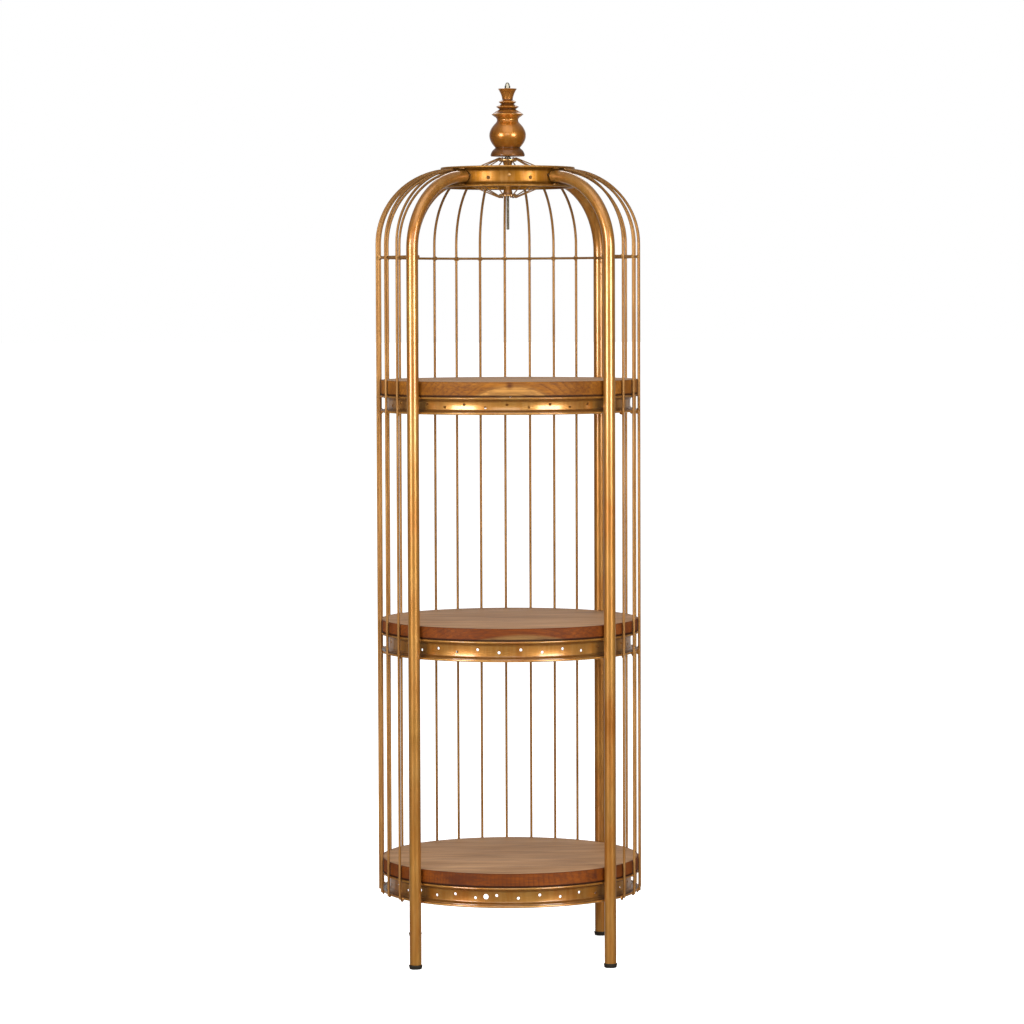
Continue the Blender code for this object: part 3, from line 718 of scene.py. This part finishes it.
def add_hub(gold):
    low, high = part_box("hub")
    centre = Vector((0, 0, (low.z + high.z) / 2))
    half = (high.z - low.z) / 2
    edge = high.y
    under = half - HUB_FLANGE_THICKNESS
    upper = [
        (THREADED_ROD_RADIUS + BORE_GAP, half, 0.0, -0.3),
        (0.0070, half, 0.0004, 0.1),
        (0.0078, half - 0.0006, 0.0004, -0.5),
        (0.0096, half - 0.0006, 0.0004, -0.2),
        (0.0102, half, 0.0004, 0.2),
        (edge, half, 0.0008, 0.5),
        (edge, under, 0.0008, 0.3),
        (0.0085, under, 0.0016, -0.6),
        (0.0060, under - 0.0095, 0.0040, -0.1),
    ]
    lower = [(radius, -height, fillet, tone) for radius, height, fillet, tone in reversed(upper)]
    bm = new_bmesh()
    turn(bm, rounded(upper + lower), SMALL_SEGMENTS, base=centre)
    cutters = bmesh.new()
    for i in range(CROWN_HOLES):
        angle, side = crown_hole(i)
        place = centre + on_circle(SPOKE_CIRCLE_RADIUS, angle, side * (half - HUB_FLANGE_THICKNESS / 2))
        add_drill(cutters, place, Vector((0, 0, 1)), SPOKE_RADIUS + CONTACT_GAP, 0.006, 12)
    piece("hub_spool", drill(bm, cutters), gold, stands_for=["hub"])


def spoke_stations(side, crown, hub_half, well, head_tone):
    """A spoke in its own plane: domed head, elbow, wire, nipple and the nipple's head in the rim's well."""
    head_end = hub_half - HUB_FLANGE_THICKNESS - CONTACT_GAP
    flange_edge = SPOKE_CIRCLE_RADIUS + 0.003
    nipple_start = well - RIM_WALL - 0.012
    bend = SPOKE_CIRCLE_RADIUS + 0.0012
    slope = math.atan((hub_half - HOLE_STAGGER) / (nipple_start - flange_edge))
    elbow = hub_half + CONTACT_GAP + (flange_edge - bend) * math.tan(slope) + SPOKE_RADIUS / math.cos(slope)
    seat = well + CONTACT_GAP
    up = math.pi / 2
    points = [
        (SPOKE_CIRCLE_RADIUS, head_end - 0.0012, up, 0.0008, 0.2),
        (SPOKE_CIRCLE_RADIUS, head_end - 0.0010, up, 0.0014, 0.2),
        (SPOKE_CIRCLE_RADIUS, head_end - 0.0005, up, 0.0018, 0.2),
        (SPOKE_CIRCLE_RADIUS, head_end, up, 0.0017, 0.0),
        (SPOKE_CIRCLE_RADIUS, head_end + 0.0001, up, SPOKE_RADIUS, SPOKE_TONE),
        (SPOKE_CIRCLE_RADIUS, elbow - ELBOW_RISE, up, SPOKE_RADIUS, SPOKE_TONE),
    ]
    for k in range(1, ELBOW_STEPS + 1):
        t = k / ELBOW_STEPS
        x = SPOKE_CIRCLE_RADIUS + (bend - SPOKE_CIRCLE_RADIUS) * (1 - math.cos(t * up))
        z = elbow - ELBOW_RISE + ELBOW_RISE * math.sin(t * up)
        points.append((x, z, up - t * (up + slope), SPOKE_RADIUS, SPOKE_TONE))
    points += [
        (nipple_start, HOLE_STAGGER, -slope / 2, SPOKE_RADIUS, SPOKE_TONE),
        (nipple_start + 0.0001, HOLE_STAGGER, 0, 0.0015, 0.2),
        (nipple_start + 0.0008, HOLE_STAGGER, 0, 0.0020, 0.1),
        (seat - 0.0004, HOLE_STAGGER, 0, 0.0020, 0.0),
        (seat, HOLE_STAGGER, 0, 0.0024, 0.0),
        # The nipple head takes head_tone: on all but the front spoke a painted shade in its hole, darkest
        # under its rim.
        (seat + 0.0002, HOLE_STAGGER, 0, 0.0029, head_tone - 0.9),
        (seat + 0.0008, HOLE_STAGGER, 0, 0.0028, head_tone - 0.4),
        (seat + 0.0014, HOLE_STAGGER, 0, 0.0021, head_tone),
        (seat + 0.0017, HOLE_STAGGER, 0, 0.0010, head_tone + 0.2),
    ]
    return [(x, crown + side * z, side * tilt, radius, tone) for x, z, tilt, radius, tone in points]


def add_spokes(wire):
    crown = middle("crown_rim").z
    hub_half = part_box("hub")[1].z - crown
    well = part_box("crown_rim")[1].y - LIP_DEPTH - CROWN_WELL_DEPTH
    for i in range(CROWN_HOLES):
        angle, side = crown_hole(i)
        flange = "upper" if side == 1 else "lower"
        name = f"spoke_{flange}_{i // 2 + 1}"
        bm = new_bmesh()
        head_tone = FRONT_NIPPLE_HEAD_HIGHLIGHT_TONE if i == 0 else NIPPLE_HEAD_SHADE_TONE
        sweep(bm, spoke_stations(side, crown, hub_half, well, head_tone), WIRE_SIDES, None, angle)
        piece(name + "_wire", bm, wire, stands_for=[name])


def add_threaded_rod(zinc):
    """A bar with a real single-start thread, 0.8 mm to a turn."""
    low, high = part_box("threaded_rod")
    pitch, depth = 0.0008, 0.00045
    turns = (high.z - low.z) / pitch
    bm = new_bmesh()
    rings = []
    count = int(turns * THREAD_ROWS)
    for k in range(count + 1):
        z = low.z + (high.z - low.z) * k / count
        ring = []
        for i in range(THREAD_SIDES):
            a = 2 * math.pi * i / THREAD_SIDES
            phase = (z / pitch - i / THREAD_SIDES) % 1.0
            crest = abs(2 * phase - 1)
            near_end = min(1.0, (z - low.z) / 0.0006, (high.z - z) / 0.0006)
            radius = THREADED_ROD_RADIUS - depth * (1 - crest) - 0.0005 * (1 - near_end)
            ring.append(add_vertex(bm, on_circle(radius, a, z), crest - THREAD_ROOT_DARKENING))
        rings.append(ring)
    for first, second in zip(rings, rings[1:]):
        bridge(bm, first, second)
    bm.faces.new(rings[0])
    bm.faces.new(rings[-1])
    piece("threaded_rod_stud", bm, zinc, stands_for=["threaded_rod"], sharp=70)


def hexagon_ring(bm, centre, corner, height, rounding):
    """A ring of vertices on a hexagon with the given corner radius, its corners cut at rounding."""
    ring = []
    for i in range(NUT_SEGMENTS):
        a = 2 * math.pi * i / NUT_SEGMENTS
        facing = (a + math.pi / 6) % (math.pi / 3) - math.pi / 6
        off_flat = abs(facing) - math.pi / 6
        flat = corner * math.cos(math.pi / 6) / math.cos(off_flat)
        ring.append(add_vertex(bm, centre + on_circle(min(flat, rounding), a, height)))
    return ring


def add_nut(name, base, height, dome, body, zinc):
    """A hexagon nut with both edges turned down, and on an acorn nut a dome above."""
    corner = NUT_CORNER_RADIUS
    flats = corner * math.cos(math.pi / 6)
    centre = Vector((0, 0, base))
    hexagon = height if dome is None else dome
    bm = new_bmesh()
    bore = THREADED_ROD_RADIUS + CONTACT_GAP
    rings = []
    if dome is None:
        rings.append(hexagon_ring(bm, centre, corner, hexagon, bore))
    rings.append(hexagon_ring(bm, centre, corner, 0.0, bore))
    rings.append(hexagon_ring(bm, centre, corner, 0.0, 0.97 * flats))
    rings.append(hexagon_ring(bm, centre, corner, 0.0005, corner))
    rings.append(hexagon_ring(bm, centre, corner, hexagon - 0.0005, corner))
    rings.append(hexagon_ring(bm, centre, corner, hexagon, 0.97 * flats))
    if dome is not None:
        rise = height - dome
        for k in range(NUT_DOME_STEPS):
            a = math.pi / 2 * k / NUT_DOME_STEPS
            cut = 0.94 * flats * math.cos(a)
            rings.append(hexagon_ring(bm, centre, corner, dome + rise * math.sin(a), cut))
        rings.append(hexagon_ring(bm, centre, corner, height, 0.0004))
    for first, second in zip(rings, rings[1:]):
        bridge(bm, first, second)
    if dome is None:
        bridge(bm, rings[-1], rings[0])
    else:
        bm.faces.new(rings[0])
        bm.faces.new(rings[-1])
    piece(name + "_hex", bm, zinc, body, stands_for=[name], sharp=25)


def add_nuts(zinc):
    for name, dome, body in (("lock_nut", None, "frame"), ("cap_nut", 0.0045, "finial")):
        low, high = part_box(name)
        add_nut(name, low.z, high.z - low.z, dome, body, zinc)


# Up the finial's outline: height above its base, radius, how far the arc that leads there bulges, and tone
FINIAL_OUTLINE = [
    (0.0000, 0.0270, 0.0, 0.0),
    # The foot's low tones are painted shade on its flare; the grooves are darker and the rings brighter.
    (0.0016, 0.0279, 0.0, -0.7),
    (0.0124, 0.0213, 0.0014, -0.7),
    (0.0140, 0.0200, 0.0, -0.9),
    (0.0155, 0.0212, 0.0, -0.3),
    (0.0525, 0.0208, 0.0087, 0.0),
    (0.0650, 0.0225, -0.0045, 0.0),
    (0.0679, 0.0261, 0.0, 0.5),
    (0.0705, 0.0220, 0.0, -0.5),
    (0.0732, 0.0186, 0.0, 0.4),
    (0.0762, 0.0130, 0.0, -0.9),
    (0.0802, 0.0188, 0.0, 0.4),
    (0.0844, 0.0101, 0.0, -0.9),
    (0.0880, 0.0145, 0.0, 0.4),
    (0.0918, 0.0085, 0.0, -0.8),
    (0.1094, 0.0154, -0.0012, 0.3),
]
FINIAL_FOOT_HEIGHT = 0.013


def arc_to(start, end, bulge, step=0.0012):
    chord = end - start
    count = max(1, round(chord.length / step)) if bulge else 1
    across = Vector((chord.y, -chord.x)).normalized()
    points = []
    for k in range(1, count + 1):
        t = k / count
        points.append(start + t * chord + 4 * t * (1 - t) * bulge * across)
    return points


def add_finial(gilt):
    low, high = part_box("finial")
    height, radius, _, tone = FINIAL_OUTLINE[0]
    corners = [(THREADED_ROD_RADIUS + BORE_GAP, 0.0, 0.0, -0.5), (radius, height, 0.0005, tone)]
    here = Vector((radius, height))
    for height, radius, bulge, tone in FINIAL_OUTLINE[1:]:
        end = Vector((radius, height))
        points = arc_to(here, end, bulge)
        arc_tone = FINIAL_FOOT_SHADE_TONE if height < FINIAL_FOOT_HEIGHT else 0.0
        for point in points[:-1]:
            corners.append((point.x, point.y, 0.0, arc_tone))
        corners.append((end.x, end.y, 0.0007, tone))
        here = end
    corners.append((0.0060, high.z - low.z - 0.0004, 0.0004, 0.0))
    corners.append((THREADED_ROD_RADIUS + BORE_GAP, high.z - low.z - 0.0004, 0.0, -0.5))
    bm = new_bmesh()
    turn(bm, rounded(corners), 2 * SMALL_SEGMENTS, base=(0, 0, low.z))
    piece("finial_turned", bm, gilt, "finial", stands_for=["finial"], sharp=50)


# Weld beads


def add_bead(bm, centre, size, turn_by, seed, tone=-0.3):
    """A lump of weld: an ellipsoid of that size (outwards, along, up), turned about Z and uneven."""
    layer = bm.verts.layers.float["tone"]
    made = bmesh.ops.create_icosphere(bm, subdivisions=2, radius=1.0)
    spin = Matrix.Rotation(turn_by, 3, "Z")
    offset = Vector((seed * 1.7, seed * 0.9, seed * 2.3))
    for vertex in made["verts"]:
        swell = 1 + 0.28 * noise.noise(vertex.co * 1.6 + offset)
        vertex[layer] = tone + 0.5 * noise.noise(vertex.co * 2.5 + offset)
        vertex.co = centre + spin @ (vertex.co * Vector(size)) * swell


def add_rod_welds(gold, draw):
    """Tacks where the rods cross the rims' lips and the hoop, and at their ends under the crown's lip."""
    rods = [low_end(name) for name in rod_names()]
    for tier in RIM_HOLES:
        low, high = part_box("rim_" + tier)
        bm = new_bmesh()
        for rod in rods:
            angle = angle_of(rod)
            for level, spread in ((low.z + 0.0006, 1.7), (high.z - 0.0016, 0.8)):
                side = draw.choice((-1, 1))
                reach = spread * draw.uniform(0.0019, 0.0026)
                across = angle + side * 0.0026 / high.y
                place = on_circle(high.y - 0.0003, across, level + draw.uniform(-0.0006, 0.0006))
                add_bead(bm, place, (0.0020, reach, reach), angle, draw.uniform(0, 50))
        piece("welds_rim_" + tier, bm, gold)
    low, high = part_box("hoop")
    bm = new_bmesh()
    for rod in rods:
        angle = angle_of(rod)
        reach = draw.uniform(0.0034, 0.0042)
        place = on_circle(high.y + 0.0013, angle, low.z + draw.uniform(0.0010, 0.0026))
        # The hoop's welds are painted lighter than the hoop, a painted highlight.
        add_bead(bm, place, (0.0024, reach + 0.0004, reach), angle, draw.uniform(0, 50), 0.4)
    piece("welds_hoop", bm, gold)
    top = rod_end_height()
    bm = new_bmesh()
    for rod in rods:
        angle = angle_of(rod)
        reach = draw.uniform(0.0019, 0.0024)
        place = on_circle(ROD_END_RADIUS + 0.0016, angle, top + draw.uniform(-0.0006, 0.0004))
        add_bead(bm, place, (0.0018, reach + 0.0008, reach), angle, draw.uniform(0, 50))
    piece("welds_crown_rods", bm, gold)


def add_leg_welds(gold, draw):
    """Beads on both flanks of each leg at the rims' lips, and three above and three below its end."""
    bm = new_bmesh()
    crown_low, crown_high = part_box("crown_rim")
    for side in LEGS:
        foot = middle("foot_" + side)
        angle = angle_of(foot)
        for tier in RIM_HOLES:
            low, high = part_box("rim_" + tier)
            for level in (low.z + 0.0017, high.z - 0.0018):
                for flank in (-1, 1):
                    across = flank * draw.uniform(0.0030, 0.0042)
                    place = on_circle(high.y - 0.0001, angle + across / high.y, level)
                    size = (0.0016, draw.uniform(0.0022, 0.0030), draw.uniform(0.0014, 0.0019))
                    add_bead(bm, place, size, angle, draw.uniform(0, 50))
        for level in (crown_low.z + 0.0034, crown_high.z - 0.0034):
            for across in (-0.0035, 0.0, 0.0035):
                place = on_circle(crown_high.y - 0.0022, angle + across / crown_high.y, level)
                size = (0.0022, draw.uniform(0.0024, 0.0032), draw.uniform(0.0016, 0.0022))
                add_bead(bm, place, size, angle, draw.uniform(0, 50))
    piece("welds_legs", bm, gold)


# Camera, lights and floor

CAMERA_DISTANCE = 6.1824
CAMERA_HEIGHT = 1.0658
CAMERA_AZIMUTH = math.radians(1.51)  # round to the left of the unit's front
CAMERA_PAN = math.radians(0.046)
CAMERA_PITCH = math.radians(3.171)
CAMERA_ROLL = math.radians(0.204)
CAMERA_LENS = 133.32
SOFTBOX_AIM = 0.9  # the greatest height that a softbox points at
FLOOR_HALF_WIDTH = 400.0
FLOOR_DROP = 0.0005
FLOOR_GLOW = 0.93


def add_camera():
    camera = bpy.data.objects.new("camera", bpy.data.cameras.new("camera"))
    camera.data.lens = CAMERA_LENS
    camera.data.sensor_width = 36.0
    camera.data.clip_start, camera.data.clip_end = 0.1, 100.0
    camera.rotation_mode = "QUATERNION"
    heading = Matrix.Rotation(-CAMERA_AZIMUTH - CAMERA_PAN, 4, "Z")
    tilt = Matrix.Rotation(math.pi / 2 - CAMERA_PITCH, 4, "X")
    place = on_circle(CAMERA_DISTANCE, FRONT - CAMERA_AZIMUTH, CAMERA_HEIGHT)
    camera.matrix_world = Matrix.Translation(place) @ heading @ tilt @ Matrix.Rotation(-CAMERA_ROLL, 4, "Z")
    bpy.context.scene.collection.objects.link(camera)
    bpy.context.scene.camera = camera


def add_softbox(name, angle, distance, height, width, tall, power):
    """A softbox that stands off at an angle from the camera's side and faces the unit."""
    light = bpy.data.lights.new(name, "AREA")
    light.shape = "RECTANGLE"
    light.size, light.size_y = width, tall
    light.energy = power
    obj = bpy.data.objects.new(name, light)
    obj.location = on_circle(distance, FRONT - CAMERA_AZIMUTH + math.radians(angle), height)
    target = Vector((0, 0, min(height, SOFTBOX_AIM)))
    obj.rotation_euler = (obj.location - target).to_track_quat("Z", "Y").to_euler()
    obj.visible_camera = False
    bpy.context.scene.collection.objects.link(obj)


def add_studio():
    """A white surround, dim and graded in reflections, softboxes, and a floor that is clear from below."""
    world = bpy.data.worlds.new("studio")
    bpy.context.scene.world = world
    world.use_nodes = True
    tree = world.node_tree
    background = tree.nodes["Background"]
    coordinates = node(tree, "ShaderNodeTexCoord")
    direction = node(tree, "ShaderNodeSeparateXYZ", {"Vector": coordinates.outputs["Generated"]})
    backdrop = ramp(tree, direction.outputs["Y"], [(0.60, 0.08), (0.97, 0.46)])
    ceiling = ramp(tree, direction.outputs["Z"], [(0.20, 0.0), (0.60, 0.38)])
    around = mix(tree, 1.0, backdrop, ceiling, "LIGHTEN")
    seen = node(tree, "ShaderNodeLightPath").outputs["Is Camera Ray"]
    tree.links.new(mix(tree, seen, around, (1.0, 1.0, 1.0)), background.inputs["Color"])
    add_softbox("softbox_left", -42.0, 4.5, 1.45, 1.7, 1.5, 144.0)
    add_softbox("softbox_right", 38.0, 4.5, 1.45, 1.7, 1.5, 138.0)
    add_softbox("softbox_top", 0.0, 2.5, 4.4, 4.0, 4.0, 70.0)
    add_softbox("fill", -2.0, 5.5, 2.2, 2.5, 1.6, 45.0)
    add_softbox("softbox_back", 180.0, 4.2, 4.2, 3.0, 1.6, 45.0)
    bm = bmesh.new()
    bmesh.ops.create_grid(bm, x_segments=1, y_segments=1, size=FLOOR_HALF_WIDTH)
    mesh = bpy.data.meshes.new("floor")
    bm.to_mesh(mesh)
    bm.free()
    floor = bpy.data.objects.new("floor", mesh)
    floor.location.z = -FLOOR_DROP
    floor.visible_glossy = False
    bpy.context.scene.collection.objects.link(floor)
    material, tree, shader = new_material("pale_floor")
    shader.inputs["Base Color"].default_value = (0.9, 0.9, 0.9, 1.0)
    shader.inputs["Roughness"].default_value = 0.9
    shader.inputs["Specular IOR Level"].default_value = 0.0
    shader.inputs["Emission Color"].default_value = (1.0, 1.0, 1.0, 1.0)
    shader.inputs["Emission Strength"].default_value = FLOOR_GLOW
    seen = node(tree, "ShaderNodeNewGeometry").outputs["Backfacing"]
    clear = node(tree, "ShaderNodeBsdfTransparent").outputs["BSDF"]
    sides = node(tree, "ShaderNodeMixShader", {"Fac": seen})
    tree.links.new(shader.outputs["BSDF"], sides.inputs[1])
    tree.links.new(clear, sides.inputs[2])
    tree.links.new(sides.outputs["Shader"], tree.nodes["Material Output"].inputs["Surface"])
    mesh.materials.append(material)
    bpy.context.scene.view_settings.view_transform = "Standard"


def main():
    draw = random.Random(7)
    gold = aged_gold(
        "aged_gold_paint",
        (0.320, 0.106, 0.009),
        (0.400, 0.186, 0.033),
        (0.610, 0.365, 0.120),
        metallic=0.66,
        smooth=0.28,
        matt=0.39,
        coat=0.80,
    )
    wire = aged_gold(
        "aged_gold_wire",
        (0.205, 0.086, 0.018),
        (0.300, 0.146, 0.044),
        (0.520, 0.300, 0.105),
        metallic=0.42,
        smooth=0.36,
        matt=0.48,
        coat=0.0,
        specular=0.2,
    )
    brown_gold = aged_gold(
        "aged_gold_brown",
        (0.190, 0.066, 0.003),
        (0.255, 0.102, 0.006),
        (0.600, 0.330, 0.110),
        metallic=0.82,
        smooth=0.32,
        matt=0.44,
        coat=0.08,
        specular=0.3,
    )
    gilt = aged_gold(
        "gilt_wood",
        (0.210, 0.060, 0.003),
        (0.370, 0.130, 0.010),
        (0.620, 0.300, 0.065),
        metallic=0.66,
        smooth=0.27,
        matt=0.38,
        coat=0.50,
    )
    woods = {
        "lower": stained_pine(
            "pine_lower",
            math.radians(55),
            (-0.42, 0.150),
            (0.070, 0.013, 0.0005),
            (0.180, 0.043, 0.002),
            9.0,
            (0.200, 0.060, 0.010),
            (0.130, -0.165, 0.150),
        ),
        "middle": stained_pine(
            "pine_middle",
            math.radians(4),
            (0.05, 0.797),
            (0.080, 0.015, 0.001),
            (0.190, 0.047, 0.005),
            0.3768,
            (0.160, 0.082, 0.026),
            (-0.180, -0.109, 0.542),
        ),
        "upper": stained_pine(
            "pine_upper",
            0.0,
            (0.05, 1.048),
            (0.120, 0.036, 0.002),
            (0.270, 0.098, 0.010),
            0.2960,
            (0.340, 0.160, 0.038),
            (-0.004, -0.2105, 0.934),
        ),
    }
    zinc = zinc_plate("zinc_steel")
    rubber = moulded_rubber("dark_rubber")
    add_camera()
    add_studio()
    add_boards(woods)
    add_shelf_rims(gold)
    add_crown_rim(brown_gold)
    add_legs(gold)
    add_feet(rubber)
    add_rods(wire)
    add_hoop(wire)
    add_hub(gold)
    add_spokes(wire)
    add_threaded_rod(zinc)
    add_nuts(zinc)
    add_finial(gilt)
    add_rod_welds(gold, draw)
    add_leg_welds(gold, draw)


main()
